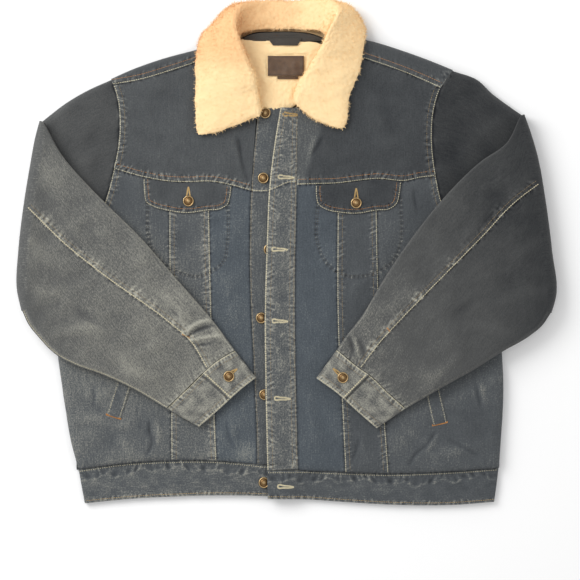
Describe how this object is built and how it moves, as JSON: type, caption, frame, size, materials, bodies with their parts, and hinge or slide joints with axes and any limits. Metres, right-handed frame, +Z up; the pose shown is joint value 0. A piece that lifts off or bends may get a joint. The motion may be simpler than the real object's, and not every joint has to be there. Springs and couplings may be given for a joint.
{
  "type": "sherpa lined denim jacket",
  "caption": "Denim trucker jacket with a curly sherpa collar and lining, laid flat on its back and open at the neck, sleeves folded over the front.",
  "frame": {"origin": "middle of the underside's bounding box, on the surface that the jacket lies on", "axes": "+Z up from the surface, out of the jacket's front; +Y from the hem to the collar; +X to the wearer's left"},
  "size_m": [0.836, 0.786, 0.0616],
  "materials": {
    "denim_body": "washed indigo denim, worn pale at the seams",
    "denim_sleeve": "washed grey-blue denim",
    "sherpa": "curly cream pile",
    "dark_tape": "dark twill tape",
    "leather": "dark brown, dull",
    "copper": "aged copper"
  },
  "bodies": {
    "root": {"back_panel": "denim_body", "back_yoke": "denim_body", "front_yoke_R": "denim_body", "front_yoke_L": "denim_body", "front_side_R": "denim_body", "front_side_L": "denim_body", "front_middle_R": "denim_body", "front_middle_L": "denim_body", "front_center_R": "denim_body", "front_center_L": "denim_body", "button_stand": "denim_body", "placket": "denim_body", "pocket_flap_R": "denim_body", "pocket_flap_L": "denim_body", "welt_R": "denim_body", "welt_L": "denim_body", "waistband_front_R": "denim_body", "waistband_front_L": "denim_body", "waistband_back": "denim_body", "top_sleeve_R": "denim_sleeve", "under_sleeve_R": "denim_sleeve", "cuff_R": "denim_sleeve", "top_sleeve_L": "denim_sleeve", "under_sleeve_L": "denim_sleeve", "cuff_L": "denim_sleeve", "collar": "sherpa", "neck_lining": "sherpa", "neck_tape": "dark_tape", "hanger_loop": "dark_tape", "size_tab": "dark_tape", "label": "leather", "button_front_1": "copper", "button_front_2": "copper", "button_front_3": "copper", "button_front_4": "copper", "button_front_5": "copper", "button_front_6": "copper", "button_flap_R": "copper", "button_flap_L": "copper", "button_cuff_R": "copper", "button_cuff_L": "copper"}
  },
  "joints": []
}
